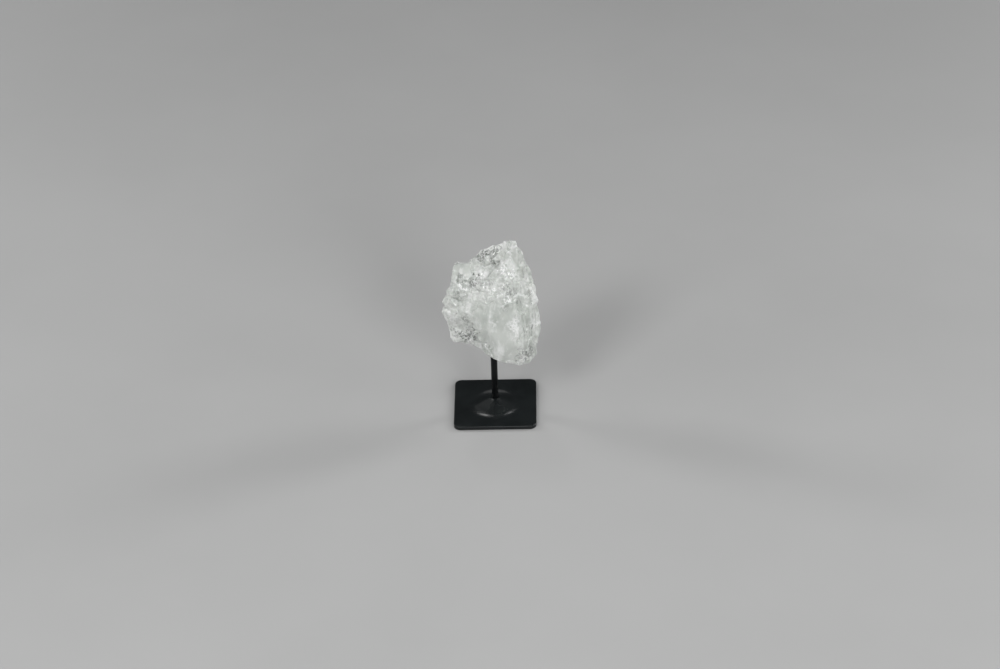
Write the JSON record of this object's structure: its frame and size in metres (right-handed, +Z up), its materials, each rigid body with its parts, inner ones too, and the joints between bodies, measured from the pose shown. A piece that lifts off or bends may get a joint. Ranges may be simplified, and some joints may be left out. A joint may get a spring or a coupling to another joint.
{
  "type": "rough quartz crystal on stand",
  "caption": "Rough broken lump of translucent quartz, drilled from below and held upright on a thin round pin in the raised boss of a small square base plate.",
  "frame": {"origin": "centre of the base plate's flat underside, straight below the pin", "axes": "+Z up along the pin, -Y towards the front of the stone, +X towards the side where its highest point is"},
  "size_m": [0.0704, 0.06, 0.1405],
  "materials": {
    "quartz": "satin",
    "painted_steel": "satin"
  },
  "bodies": {
    "root": {"quartz": "quartz", "pin": "painted_steel", "base_plate": "painted_steel"}
  },
  "joints": []
}
